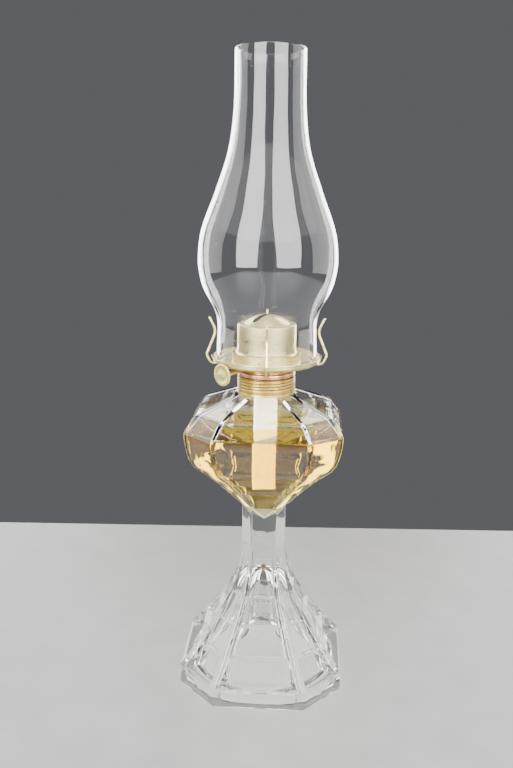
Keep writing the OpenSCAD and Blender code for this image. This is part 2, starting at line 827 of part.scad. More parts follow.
module wick() {
    color([0.95, 0.93, 0.86])
    wick_place(wick_bottom_z, wick_top_z, 0);
}

// Prongs: bent wire in a plane through the lamp's axis. Each turns on its cross bar as it springs.
wire_r = wire_d / 2;
prong_root_r = basket_top_r + 2.2;
prong_z = gallery_z - wire_r - 1.2;
elbow_low_r = gallery_r + 1.4;
elbow_r = gallery_r + lip_w + wire_r + 3.2;
elbow_z = gallery_z + 3.8;
touch_bend_r = 5;
touch_z = gallery_floor_z + prong_touch_h;
tip_angle = 26;
touch_inset = touch_bend_r * (1 / cos(23.5) - 1);
touch_r = chimney_foot_d / 2 + prong_gap + wire_r - touch_inset;
prong_points = [
    [prong_root_r, prong_z],
    [elbow_low_r, prong_z],
    [elbow_r, elbow_z],
    [touch_r, touch_z],
    [touch_r + prong_tip * sin(tip_angle), touch_z + prong_tip * cos(tip_angle)]
];
prong_bends = [0, bend_r, bend_r, touch_bend_r];

// Corner i of a line of points, replaced by an arc of radius r in n pieces
function arc_corner(p, i, r, n) = let (
        a = unit(p[i] - p[i - 1]),
        b = unit(p[i + 1] - p[i]),
        side = a[0] * b[1] - a[1] * b[0] > 0 ? 1 : -1,
        turn = acos(max(-1, min(1, a * b))),
        start = p[i] - a * r * tan(turn / 2),
        centre = start + side * r * [-a[1], a[0]]
    )
    [for (k = [0 : n])
        let (t = side * turn * k / n, v = start - centre)
        centre + [v[0] * cos(t) - v[1] * sin(t), v[0] * sin(t) + v[1] * cos(t)]];
function wire_path(p, bends, n) = concat(
    [p[0]],
    [for (i = [1 : len(p) - 2]) for (q = arc_corner(p, i, bends[i], n)) q],
    [p[len(p) - 1]]
);
wire_sides = 10;
function wire_ring(path, i) = let (
        a = path[max(0, i - 1)],
        b = path[min(len(path) - 1, i + 1)],
        t = unit(b - a),
        c = path[i]
    )
    [for (k = [0 : wire_sides - 1])
        let (u = wire_r * cos(360 * k / wire_sides), v = wire_r * sin(360 * k / wire_sides))
        [c[0] + u * t[1], v, c[1] - u * t[0]]];

module prong(azimuth) {
    path = wire_path(prong_points, prong_bends, 6);
    color([0.9, 0.84, 0.64])
    burner_frame()
        rotate([0, 0, azimuth])
            union() {
                loft([for (i = [0 : len(path) - 1]) wire_ring(path, i)]);
                translate([prong_root_r, cross_bar / 2, prong_z])
                    rotate([90, 0, 0])
                        cylinder(d = wire_d, h = cross_bar, $fn = 48);
            }
}

module prong_front() { prong(-90); }
module prong_right() { prong(0); }
module prong_back() { prong(90); }
module prong_left() { prong(180); }

// Two ears under the gallery carry each prong's cross bar
ear_t = cross_bar / 2 - wire_r - 0.9;
ear_w = wire_d + 1.8;

module prong_clips() {
    color([0.84, 0.72, 0.46])
    burner_frame()
        for (azimuth = [0 : 90 : 270])
            rotate([0, 0, azimuth])
                for (s = [-1, 1])
                    translate([prong_root_r, s * (wire_r + 0.5 + ear_t / 2), prong_z])
                        difference() {
                            translate([-ear_w / 2, -ear_t / 2, -ear_w / 2])
                                cube([ear_w, ear_t, gallery_z - prong_z + ear_w / 2]);
                            rotate([90, 0, 0])
                                cylinder(d = wire_d + 2 * bore_clear, h = ear_t + 2, center = true, $fn = 48);
                        }
}

// Chimney: smooth outline through stations above its foot
chimney_foot_r = chimney_foot_d / 2;
waist_r = waist_d / 2;
bulb_r = bulb_d / 2;
top_r = chimney_top_d / 2;
waist_z = bulb_z * 0.39;
function lower_station(s, g) = [waist_z + s * (bulb_z - waist_z), waist_r + g * (bulb_r - waist_r)];
function upper_station(s, g) = [bulb_z + s * (chimney_h - bulb_z), top_r + g * (bulb_r - top_r)];
chimney_stations = [
    [0, chimney_foot_r],
    [waist_z * 0.5, (chimney_foot_r + waist_r) / 2],
    lower_station(0, 0),
    lower_station(0.19, 0.14),
    lower_station(0.51, 0.675),
    lower_station(0.7, 0.88),
    lower_station(1, 1),
    upper_station(0.145, 0.91),
    upper_station(0.34, 0.52),
    upper_station(0.53, 0.175),
    upper_station(0.72, 0.032),
    [chimney_h - chimney_wall / 2, top_r]
];
chimney_line = smooth(chimney_stations, 5);
chimney_n = len(chimney_line);

module chimney() {
    color([0.93, 0.96, 0.97, 0.35])
    translate([0, 0, chimney_z])
        rotate_extrude()
            polygon(concat(
                [for (p = chimney_line) [p[1], p[0]]],
                [for (k = [1 : 5])
                    [
                        top_r - chimney_wall / 2 * (1 - cos(30 * k)),
                        chimney_h - chimney_wall / 2 * (1 - sin(30 * k))
                    ]],
                [for (i = [chimney_n - 1 : -1 : 0])
                    [chimney_line[i][1] - chimney_wall, chimney_line[i][0]]]
            ));
}

glass_foot();
glass_fount();
lamp_oil();
collar_plaster();
screw_collar();
screw_shell();
bead_ring();
air_basket();
gallery();
draft_plate();
deflector();
prong_clips();
prong_front();
prong_right();
prong_back();
prong_left();
wick_tube();
vent_tube();
wheel_housing();
wick_shaft();
spur_wheels();
thumbwheel();
wick();
chimney();
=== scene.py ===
"""Pressed-glass kerosene table lamp: the looks of every piece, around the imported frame.

Shapes are worked out in millimetres and their meshes are made in metres. +Z is up, the origin is the
middle of the foot's underside, -Y is the front, and the glass's long sides face along X and Y.
"""

import math
import random

import bmesh
import bpy
from mathutils import Matrix, Vector, noise


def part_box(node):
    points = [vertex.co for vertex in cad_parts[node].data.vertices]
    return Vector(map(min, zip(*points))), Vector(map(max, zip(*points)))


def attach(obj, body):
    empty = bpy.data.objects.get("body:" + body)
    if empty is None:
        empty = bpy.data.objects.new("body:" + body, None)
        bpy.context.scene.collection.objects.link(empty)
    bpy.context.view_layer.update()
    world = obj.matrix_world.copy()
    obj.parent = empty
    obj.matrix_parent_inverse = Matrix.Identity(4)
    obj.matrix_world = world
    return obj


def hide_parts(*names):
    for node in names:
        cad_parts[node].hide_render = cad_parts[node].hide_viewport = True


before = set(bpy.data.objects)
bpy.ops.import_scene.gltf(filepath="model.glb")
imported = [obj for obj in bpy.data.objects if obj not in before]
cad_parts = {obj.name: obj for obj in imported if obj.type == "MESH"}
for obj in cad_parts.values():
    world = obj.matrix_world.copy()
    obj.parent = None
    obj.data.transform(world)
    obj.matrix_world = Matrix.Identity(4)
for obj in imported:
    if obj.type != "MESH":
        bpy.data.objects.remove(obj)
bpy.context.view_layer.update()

MM = 0.001


def low(node):
    """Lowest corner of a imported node, in millimetres."""
    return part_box(node)[0] / MM


def high(node):
    """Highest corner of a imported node, in millimetres."""
    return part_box(node)[1] / MM


# Mesh helpers

def finish_mesh(name, points, faces, sharp=35):
    """Closed mesh object from points in millimetres, smooth but for edges over sharp degrees."""
    mesh = bpy.data.meshes.new(name)
    mesh.from_pydata([Vector(p) * MM for p in points], [], faces)
    grid = bmesh.new()
    grid.from_mesh(mesh)
    bmesh.ops.remove_doubles(grid, verts=grid.verts, dist=1e-7)
    bmesh.ops.recalc_face_normals(grid, faces=grid.faces)
    grid.to_mesh(mesh)
    grid.free()
    mesh.shade_smooth()
    mesh.set_sharp_from_angle(angle=math.radians(sharp))
    piece = bpy.data.objects.new(name, mesh)
    bpy.context.scene.collection.objects.link(piece)
    return piece


def skin(rings, first_pole=None, last_pole=None, joined=False):
    """Points and faces over a list of equal rings, with a pole or a flat end at each end.

    With joined, the last ring meets the first and there are no ends.
    """
    n = len(rings[0])
    points = [p for ring in rings for p in ring]
    faces = []
    rows = len(rings) if joined else len(rings) - 1
    for i in range(rows):
        a, b = i * n, (i + 1) % len(rings) * n
        faces += [(a + j, b + j, b + (j + 1) % n, a + (j + 1) % n) for j in range(n)]
    if not joined:
        for pole, start in ((first_pole, 0), (last_pole, (len(rings) - 1) * n)):
            if pole is None:
                faces.append(tuple(range(start, start + n)))
            else:
                points.append(pole)
                tip = len(points) - 1
                faces += [(start + j, start + (j + 1) % n, tip) for j in range(n)]
    return points, faces


def subdivided(piece, levels):
    """piece with its faces split and smoothed by Catmull and Clark's rule."""
    modifier = piece.modifiers.new("smooth", "SUBSURF")
    modifier.levels = levels
    modifier.render_levels = levels
    return piece


def add_seeds(piece, seeds):
    """Air bubbles inside the glass, each a (centre, radius, half height) in millimetres."""
    grid = bmesh.new()
    grid.from_mesh(piece.data)
    for centre, radius, tall in seeds:
        place = Matrix.Translation(Vector(centre) * MM) @ Matrix.Diagonal((radius * MM, radius * MM, tall * MM, 1))
        made = bmesh.ops.create_icosphere(grid, subdivisions=2, radius=1, matrix=place)
        faces = list({face for vert in made["verts"] for face in vert.link_faces})
        bmesh.ops.reverse_faces(grid, faces=faces)
        for face in faces:
            face.smooth = True
    grid.to_mesh(piece.data)
    grid.free()
    return piece


def circle_ring(radius, z, n, start=0.0, centre=(0.0, 0.0)):
    return [
        Vector((
            centre[0] + radius * math.cos(start + math.tau * j / n),
            centre[1] + radius * math.sin(start + math.tau * j / n),
            z,
        ))
        for j in range(n)
    ]


def rounded(outline, radius, cuts=4):
    """Closed (r, z) outline with each corner replaced by an arc of at most that radius."""
    result = []
    count = len(outline)
    for i in range(count):
        here = Vector(outline[i])
        before = Vector(outline[i - 1]) - here
        after = Vector(outline[(i + 1) % count]) - here
        bend = before.angle(after)
        if bend > math.radians(175):
            result.append(here)
            continue
        reach = min(radius / math.tan(bend / 2), 0.45 * before.length, 0.45 * after.length)
        start = here + before.normalized() * reach
        end = here + after.normalized() * reach
        for k in range(cuts + 1):
            t = k / cuts
            result.append((1 - t) ** 2 * start + 2 * t * (1 - t) * here + t ** 2 * end)
    return result


def turned(name, outline, n=128, sharp=35):
    """Ring-shaped piece turned about Z from a closed (r, z) outline in millimetres."""
    rings = [circle_ring(p[0], p[1], n) for p in outline]
    points, faces = skin(rings, joined=True)
    return finish_mesh(name, points, faces, sharp)


def tube_along(path, radius, sides=14, end_cuts=4):
    """Points and faces of a round wire with rounded ends along a path of points in one plane."""
    rings = []
    count = len(path)
    side = (path[1] - path[0]).cross(path[-1] - path[0]).normalized()
    for i, p in enumerate(path):
        along = (path[min(i + 1, count - 1)] - path[max(i - 1, 0)]).normalized()
        across = along.cross(side)
        rings.append((p, along, across, radius))
    head, tail = rings[0], rings[-1]
    caps = [(math.sin(a), math.cos(a)) for a in
            (math.radians(90 * k / (end_cuts + 1)) for k in range(1, end_cuts + 1))]
    start = [(head[0] - head[1] * radius * s, head[1], head[2], radius * c) for s, c in reversed(caps)]
    end = [(tail[0] + tail[1] * radius * s, tail[1], tail[2], radius * c) for s, c in caps]
    shaped = [
        [p + (across * math.cos(math.tau * j / sides) + side * math.sin(math.tau * j / sides)) * r
         for j in range(sides)]
        for p, along, across, r in start + rings + end
    ]
    return skin(shaped, head[0] - head[1] * radius, tail[0] + tail[1] * radius)


def slope_at(stations, i):
    a = stations[max(i - 1, 0)]
    b = stations[min(i + 1, len(stations) - 1)]
    return (b[1] - a[1]) / (b[0] - a[0])


def smooth_through(stations, x):
    """Height at x of the smooth curve through (x, y) stations."""
    if x <= stations[0][0]:
        return stations[0][1]
    if x >= stations[-1][0]:
        return stations[-1][1]
    i = max(k for k in range(len(stations) - 1) if stations[k][0] <= x)
    d = stations[i + 1][0] - stations[i][0]
    u = (x - stations[i][0]) / d
    return (
        (2 * u ** 3 - 3 * u ** 2 + 1) * stations[i][1]
        + (u ** 3 - 2 * u ** 2 + u) * d * slope_at(stations, i)
        + (3 * u ** 2 - 2 * u ** 3) * stations[i + 1][1]
        + (u ** 3 - u ** 2) * d * slope_at(stations, i + 1)
    )


def with_edges(path, reach):
    """Points of a (z, r) path with two more beside each corner, so that subdivision rounds it by reach."""
    result = [path[0]]
    for (z0, r0), (z1, r1) in zip(path, path[1:]):
        length = math.hypot(z1 - z0, r1 - r0)
        share = min(reach / length, 0.3)
        for t in (share, 1 - share, 1):
            result.append((z0 + (z1 - z0) * t, r0 + (r1 - r0) * t))
    return result


# The eight-sided pressed glass: the same driving sizes as the solids

SKIRT_H = 14.5
STEP_RISE = (16.5, 19.0, 19.0, 17.5)
TREAD_W = (10.3, 3.5, 2.5, 1.8)
TREAD_RISE = 0.8
RIB_PROUD = 0.7
FADE_H = 19.5
FLARE_POWER = 1.85
FLARE_SWELL = 2.6
SKIRT_PANEL_DEPTH = 0.8
FOOT_WALL = 4.5
FOOT_RIM_W = 7.0
FOOT_SHARE = 0.54
STEM_SHARE = 0.58
FOUNT_SHARE = 0.62
SKIRT_DRAFT = 0.7

FOOT_R = high("glass_foot").x
STEM_R = 16.4
SEAM_Z = high("glass_foot").z
NECK_TOP_Z = high("glass_fount").z
FOUNT_R = high("glass_fount").x

STEM_UPPER_H = 15.5
BOWL_H = 63.5
SHOULDER_H = 11.8
SHOULDER_R = 48.5
CROWN_H = 12.0
FOUNT_WALL = 4.0
BOWL_TREAD_W = 2.6
POINT_DEPTH = 12.5
NECK_R = 17.5
NECK_BORE_R = 14.5

BOWL_Z = SEAM_Z + STEM_UPPER_H
RIDGE_Z = BOWL_Z + BOWL_H
SHOULDER_Z = RIDGE_Z + SHOULDER_H
CROWN_Z = SHOULDER_Z + CROWN_H
OIL_Z = high("lamp_oil").z
COLLAR_R = 21.5

STEPS = len(STEP_RISE)
STEP_Z = [SKIRT_H + sum(STEP_RISE[:i]) for i in range(STEPS + 1)]
FLARE_TOP_Z = STEP_Z[STEPS] + FADE_H
SKIRT_R = FOOT_R - SKIRT_DRAFT
SWELL_Z = STEP_Z[1] + 10
SWELL_SPREAD = 10.0

EDGE = 0.9
SIDES = 8
SIDE_POINTS = 16
RING = SIDES * SIDE_POINTS
CORNER_ANGLE = math.atan2(FOOT_SHARE, 1)


def flare_share(z):
    return min(1.0, max(0.0, (z - SKIRT_H) / (FLARE_TOP_Z - SKIRT_H)))


def rib_r(z):
    """Half width of the foot and stem over the corner ribs at height z."""
    if z <= SKIRT_H:
        return FOOT_R - SKIRT_DRAFT * z / SKIRT_H
    swell = FLARE_SWELL * math.exp(-(((z - SWELL_Z) / SWELL_SPREAD) ** 2))
    return STEM_R + (SKIRT_R - STEM_R) * (1 - flare_share(z)) ** FLARE_POWER + swell


def foot_share(z):
    return FOOT_SHARE + (STEM_SHARE - FOOT_SHARE) * flare_share(z)


BOWL_SHAPE = ((0, 0), (0.2, 0.265), (0.405, 0.55), (0.585, 0.84), (0.79, 0.96), (1, 1))
BOWL_CURVE = [(BOWL_Z + s * BOWL_H, STEM_R + g * (FOUNT_R - STEM_R)) for s, g in BOWL_SHAPE]


def bowl_r(z):
    return smooth_through(BOWL_CURVE, z)


def bowl_share(z):
    return STEM_SHARE + (FOUNT_SHARE - STEM_SHARE) * min(1.0, max(0.0, (z - BOWL_Z) / (BOWL_H / 3)))


def corners(half, side):
    ordered = [
        (half, side), (side, half), (-side, half), (-half, side),
        (-half, -side), (-side, -half), (side, -half), (half, -side),
    ]
    return [Vector(c) for c in ordered]


def eight_sided(z, half, side, recess=0.0):
    """Ring of an eight-sided section with ribs at its corners and panels that lie recess deep."""
    ring = []
    tips = corners(half, side)
    for k in range(SIDES):
        start, end = tips[k], tips[(k + 1) % SIDES]
        length = (end - start).length
        along = (end - start) / length
        inward = Vector((-along.y, along.x))
        rib = min(1 + 0.055 * half, 0.2 * length)
        edge = min(EDGE, 0.35 * rib)
        foot = rib + min(0.4, 0.1 * rib) + 0.5 * recess
        stops = [(0, 0), (edge, 0), (rib - edge, 0), (rib, 0), (foot, recess), (foot + edge, recess)]
        inner = SIDE_POINTS - 2 * len(stops) + 1
        panel = length - 2 * stops[-1][0]
        stops += [(stops[-1][0] + panel * (i + 1) / (inner + 1), recess) for i in range(inner)]
        stops += [(length - s, d) for s, d in reversed(stops[1:6])]
        ring += [(*(start + along * s + inward * d), z) for s, d in stops]
    return ring


def step_top_r(i):
    return SKIRT_R if i == 0 else rib_r(STEP_Z[i]) - RIB_PROUD


def step_bottom_r(i):
    return step_top_r(i - 1) - TREAD_W[i - 1]


def foot_panel_path():
    """Height and half width over the panels of the foot, up to the stem."""
    depth = SKIRT_PANEL_DEPTH
    path = [(0, FOOT_R), (2.4, rib_r(2.4)), (3.4, rib_r(3.4) - depth)]
    path += [(SKIRT_H - 2.6, rib_r(SKIRT_H - 2.6) - depth), (SKIRT_H - 1.6, rib_r(SKIRT_H - 1.6))]
    path += [(SKIRT_H, SKIRT_R)]
    for i in range(1, STEPS + 1):
        path += [(STEP_Z[i - 1] + TREAD_RISE, step_bottom_r(i)), (STEP_Z[i], step_top_r(i))]
    return path


def foot_rings():
    levels = with_edges(foot_panel_path(), EDGE)
    for j in range(1, 6):
        z = STEP_Z[STEPS] + FADE_H * j / 5
        levels.append((z, rib_r(z) - RIB_PROUD * (1 - j / 5)))
    levels.append((SEAM_Z, STEM_R))
    return [eight_sided(z, rib_r(z), rib_r(z) * foot_share(z), rib_r(z) - r) for z, r in levels]


BOWL_STEPS = 4
BOWL_STEP_RISE = BOWL_H * 0.165
BOWL_FIRST_STEP = BOWL_H * 0.06


def bowl_step_z(i):
    return BOWL_Z + BOWL_FIRST_STEP + i * BOWL_STEP_RISE


def bowl_rings():
    """Rings of the fount's outside, from the top of the stem to the ridge, shoulder and crown."""
    path = [(BOWL_Z - 6, STEM_R), (BOWL_Z, STEM_R)]
    for i in range(BOWL_STEPS - 1):
        z0 = bowl_step_z(i) + (0 if i == 0 else TREAD_RISE)
        z1 = bowl_step_z(i + 1)
        path += [(z0, bowl_r(z0) - RIB_PROUD), (z1, bowl_r(z1) - RIB_PROUD - BOWL_TREAD_W)]
    levels = with_edges(path, EDGE)
    belly_z = bowl_step_z(BOWL_STEPS - 1) + TREAD_RISE
    cuts = 9
    for j in range(cuts + 1):
        z = belly_z + (RIDGE_Z - belly_z) * j / cuts
        levels.append((z, bowl_r(z) - RIB_PROUD * max(0.0, 1 - j / 3)))
    rings = [eight_sided(z, bowl_r(z), bowl_r(z) * bowl_share(z), bowl_r(z) - r) for z, r in levels]
    crown_r = COLLAR_R + 1
    top = [(RIDGE_Z, FOUNT_R), (SHOULDER_Z, SHOULDER_R), (CROWN_Z, crown_r)]
    rings += [eight_sided(z, r, r * FOUNT_SHARE) for z, r in with_edges(top, EDGE)[1:]]
    return rings


def inner_r(z):
    return bowl_r(z) - FOUNT_WALL


def inside_ring(z, half, grow=0.0):
    half = half + grow
    side = max(0.25, half * bowl_share(z) - 0.04 * FOUNT_WALL)
    return eight_sided(z, half, side)


def cavity_rings(grow=0.0, top=RIDGE_Z - 1.2):
    """Rings of the fount's hollow from its pointed end up, grow millimetres bigger than the hollow."""
    start = BOWL_Z + 2
    point = BOWL_Z - POINT_DEPTH
    levels = [
        (point, 0.5),
        (point + POINT_DEPTH * 0.25, inner_r(start) * 0.36),
        (BOWL_Z - POINT_DEPTH * 0.45, inner_r(start) * 0.76),
    ]
    cuts = 14
    levels += [(start + (top - start) * j / cuts, 0) for j in range(cuts + 1)]
    levels = [(z, r or inner_r(z)) for z, r in levels]
    return [inside_ring(z - (grow if z == point else 0), r, grow) for z, r in levels]


def hollow_stations():
    rim = FOOT_R - FOOT_RIM_W
    stations = [(0, rim), (SKIRT_H * 0.55, rim - 2.2)]
    stations += [(STEP_Z[i - 1] + TREAD_RISE, step_bottom_r(i) - FOOT_WALL) for i in range(1, STEPS + 1)]
    top = STEP_Z[STEPS] + 0.5
    neck = step_bottom_r(STEPS) - FOOT_WALL
    return stations + [(top - 4, neck * 0.5), (top - 1, neck * 0.28)], top


# Bubbles shut in the stem and the foot
STEM_SEEDS = (
    ((-12.5, -6.0, 107.0), 1.3, 1.0), ((-2.5, -3.0, 113.0), 0.7, 0.8), ((6.0, 4.0, 102.0), 0.5, 0.7),
    ((44.0, -22.0, 9.0), 0.6, 0.6), ((-30.0, -50.0, 7.0), 0.5, 0.5),
)


def pressed_glass():
    """Foot, stem and fount of one glass, with the round hollow below and the oil's hollow inside."""
    stations, top = hollow_stations()
    cuts = 30
    span = stations[-1][0]
    hollow = [(span * (1 - i / cuts), smooth_through(stations, span * (1 - i / cuts))) for i in range(cuts + 1)]
    hollow.insert(-1, (EDGE, smooth_through(stations, EDGE)))
    rings = [circle_ring(r, z, RING, CORNER_ANGLE) for z, r in hollow]
    rings.append(circle_ring(hollow[-1][1] + EDGE, 0, RING, CORNER_ANGLE))
    rings.append(eight_sided(0, FOOT_R - EDGE, (FOOT_R - EDGE) * FOOT_SHARE))
    rings += foot_rings() + bowl_rings()
    neck = [(CROWN_Z + 0.4, NECK_R + 1.2), (CROWN_Z + 1.2, NECK_R), (NECK_TOP_Z - 0.6, NECK_R),
            (NECK_TOP_Z, NECK_R - 0.6), (NECK_TOP_Z, NECK_BORE_R + 0.6), (NECK_TOP_Z - 0.6, NECK_BORE_R),
            (CROWN_Z - 3, NECK_BORE_R)]
    rings += [circle_ring(r, z, RING, CORNER_ANGLE) for z, r in neck]
    inner_top = [(CROWN_Z - FOUNT_WALL * 1.1, NECK_BORE_R + 3),
                 (SHOULDER_Z - FOUNT_WALL * 0.8, SHOULDER_R - FOUNT_WALL),
                 (RIDGE_Z - 1.2, inner_r(RIDGE_Z - 1.2))]
    rings += [eight_sided(z, r, r * FOUNT_SHARE - 0.04 * FOUNT_WALL) for z, r in with_edges(inner_top, 2.5)[:-1]]
    rings += reversed(cavity_rings())
    points, faces = skin(rings, Vector((0, 0, top)), Vector((0, 0, BOWL_Z - POINT_DEPTH - 0.4)))
    return subdivided(add_seeds(finish_mesh("pressed_glass", points, faces, 180), STEM_SEEDS), 1)


OIL_OVERLAP = 0.12
MENISCUS = 1.1


def kerosene():
    """The oil, a little bigger than its hollow so that glass and oil share one boundary."""
    rings = cavity_rings(OIL_OVERLAP, OIL_Z)
    rim = inner_r(OIL_Z) + OIL_OVERLAP
    rings.append(inside_ring(OIL_Z + MENISCUS * 0.7, rim))
    for step, drop in ((0.25, 0.55), (1.0, 0.2), (2.4, 0.02)):
        rings.append(inside_ring(OIL_Z + MENISCUS * drop, rim - step))
    for share in (0.8, 0.55, 0.3, 0.1):
        rings.append(inside_ring(OIL_Z, rim * share))
    tip = Vector((0, 0, BOWL_Z - POINT_DEPTH - 0.4 - OIL_OVERLAP))
    points, faces = skin(rings, tip, Vector((0, 0, OIL_Z)))
    return subdivided(finish_mesh("kerosene", points, faces, 180), 1)


# Blown chimney

CHIMNEY_Z = low("chimney").z
CHIMNEY_TOP_Z = high("chimney").z
CHIMNEY_H = CHIMNEY_TOP_Z - CHIMNEY_Z
CHIMNEY_WALL = 1.9
CHIMNEY_FOOT_R = 37.0
WAIST_R = 36.4
BULB_R = high("chimney").x
CHIMNEY_TOP_R = 24.4
BULB_AT = 73.0
WAIST_AT = BULB_AT * 0.39


def chimney_stations():
    def lower(s, g):
        return WAIST_AT + s * (BULB_AT - WAIST_AT), WAIST_R + g * (BULB_R - WAIST_R)

    def upper(s, g):
        return BULB_AT + s * (CHIMNEY_H - BULB_AT), CHIMNEY_TOP_R + g * (BULB_R - CHIMNEY_TOP_R)

    return [
        (0, CHIMNEY_FOOT_R), (WAIST_AT * 0.5, (CHIMNEY_FOOT_R + WAIST_R) / 2),
        lower(0, 0), lower(0.19, 0.14), lower(0.51, 0.675), lower(0.7, 0.88), lower(1, 1),
        upper(0.145, 0.91), upper(0.34, 0.52), upper(0.53, 0.175), upper(0.72, 0.032),
        (CHIMNEY_H - CHIMNEY_WALL / 2, CHIMNEY_TOP_R),
    ]


BLOWN_WAVE = 0.16


def blown(angle, z, side):
    """Small unevenness of blown glass, in millimetres, which is never outwards of the true outline."""
    spot = Vector((math.cos(angle) * 1.6, math.sin(angle) * 1.6, z / 34 + 11 * side))
    return -BLOWN_WAVE * (0.5 + 0.5 * noise.noise(spot))


# Bubbles in the chimney's wall: angle to the right of the front, height over the chimney's foot, radius
CHIMNEY_SEEDS = (
    (-43, 86, 0.5), (-50, 77, 0.4), (-50, 57, 0.45), (-42, 40, 0.5), (-36, 42, 0.4), (-32, 41, 0.45),
    (37, 39, 0.5), (48, 47, 0.45), (112, 66, 0.5), (171, 120, 0.4), (-130, 96, 0.45), (14, 150, 0.3),
)


def chimney_seeds(stations):
    seeds = []
    for angle, height, radius in CHIMNEY_SEEDS:
        a = math.radians(angle)
        r = smooth_through(stations, height) - CHIMNEY_WALL / 2 - BLOWN_WAVE / 2
        seeds.append(((r * math.sin(a), -r * math.cos(a), CHIMNEY_Z + height), radius, radius * 1.4))
    return seeds


def chimney_glass():
    stations = chimney_stations()
    n = 144
    rows = 110
    top = stations[-1][0]
    heights = [top * i / rows for i in range(rows + 1)]
    lip = CHIMNEY_WALL / 2
    outside = [(h, smooth_through(stations, h)) for h in heights]
    inside = [(h, r - CHIMNEY_WALL) for h, r in outside]
    bead = [(top + lip * math.sin(math.radians(a)), CHIMNEY_TOP_R - lip + lip * math.cos(math.radians(a)))
            for a in range(20, 180, 20)]
    foot = [(0.0, CHIMNEY_FOOT_R - CHIMNEY_WALL + 0.4), (0.0, CHIMNEY_FOOT_R - 0.4)]
    outside[0] = (0.4, CHIMNEY_FOOT_R)
    inside[0] = (0.4, CHIMNEY_FOOT_R - CHIMNEY_WALL)
    profile = [(p, 0) for p in foot[1:] + outside] + [(p, None) for p in bead]
    profile += [(p, 1) for p in reversed(inside)] + [(foot[0], 1)]
    rings = []
    for (h, r), side in profile:
        ring = []
        for j in range(n):
            a = math.tau * j / n
            uneven = blown(a, h, side) * min(1, (top - h) / 20) if side is not None else 0
            ring.append(Vector(((r + uneven) * math.cos(a), (r + uneven) * math.sin(a), CHIMNEY_Z + h)))
        rings.append(ring)
    points, faces = skin(rings, joined=True)
    return add_seeds(finish_mesh("chimney_glass", points, faces, 180), chimney_seeds(stations))


# Sheet brass of the collar and burner

SHEET = 0.6
THREAD_PITCH = 2.2
THREAD_DEPTH = 0.5
BURNER_TURN = math.radians(2.8)
GALLERY_Z = low("gallery").z
GALLERY_H = 4.4
GALLERY_R = 39.5
LIP_W = 0.9
INNER_COLLAR_R = 25.4
INNER_COLLAR_Z = high("gallery").z


def collar_thread():
    """Collar with a true spiral thread rolled into its sheet."""
    n = 144
    base, top = low("screw_collar").z, high("screw_collar").z
    rolled = base + 3.0
    rows = 48

    def rib(z, a):
        fade = min(1, max(0, (z - rolled) / 1.2), max(0, (top - z) / 0.9))
        phase = z / THREAD_PITCH - a / math.tau
        return THREAD_DEPTH * (1 - math.cos(math.tau * phase)) / 2 * fade

    levels = [(base, COLLAR_R - 0.1), (base, COLLAR_R + 0.25), (base + 0.15, COLLAR_R + 0.4),
              (base + 0.5, COLLAR_R + 0.38), (base + 0.9, COLLAR_R + 0.12), (base + 1.3, COLLAR_R)]
    levels += [(base + 1.6 + (top - 0.15 - base - 1.6) * i / rows, COLLAR_R) for i in range(rows + 1)]
    rings = []
    for z, r in levels:
        rings.append([(Vector((math.cos(a), math.sin(a), 0)) * (r - rib(z, a))) + Vector((0, 0, z))
                      for a in (math.tau * j / n for j in range(n))])
    for z, r in reversed(levels[5:]):
        inward = SHEET if z < top - 0.16 else SHEET - 0.1
        rings.append([(Vector((math.cos(a), math.sin(a), 0)) * (r - inward - rib(z, a)))
                      + Vector((0, 0, z + (0.15 if z > top - 0.16 else 0)))
                      for a in (math.tau * j / n for j in range(n))])
    rings.append(circle_ring(COLLAR_R - SHEET, base, n))
    points, faces = skin(rings, joined=True)
    return finish_mesh("collar_thread", points, faces, 50)


def gallery_dish():
    """Dish that holds the chimney, with its out-turned lip and its inner collar."""
    floor_z = GALLERY_Z + SHEET
    top = GALLERY_Z + GALLERY_H
    outline = [
        (INNER_COLLAR_R - SHEET, GALLERY_Z), (GALLERY_R - 1.4, GALLERY_Z), (GALLERY_R, GALLERY_Z + 1.4),
        (GALLERY_R, top - 0.75), (GALLERY_R + LIP_W, top - 0.5), (GALLERY_R + LIP_W, top),
        (GALLERY_R - SHEET, top - 0.15), (GALLERY_R - SHEET, floor_z + 1.1), (GALLERY_R - SHEET - 1.1, floor_z),
        (INNER_COLLAR_R, floor_z), (INNER_COLLAR_R, INNER_COLLAR_Z),
        (INNER_COLLAR_R - SHEET, INNER_COLLAR_Z),
    ]
    return turned("gallery_dish", rounded(outline, 0.5), 160, 60)


DEFLECTOR_R = 21.5
DEFLECTOR_TOP_Z = 277.9
DOME_R = 16.8
DOME_TOP_Z = high("deflector").z
FLANGE_Z = low("deflector").z
FLANGE_R = 25.7
SLOT_LEN = 28.4
SLOT_W = 5.0
SHAFT_ANGLE = math.radians(-90 - 42) + BURNER_TURN
SKIRT_FLARE = 1.1


def shaft_frame():
    """Frame with X outwards along the knob's shaft and Y across the wick, at the lamp's axis."""
    c, s = math.cos(SHAFT_ANGLE), math.sin(SHAFT_ANGLE)
    return Matrix(((c, s, 0, 0), (s, -c, 0, 0), (0, 0, 1, 0), (0, 0, 0, 1)))


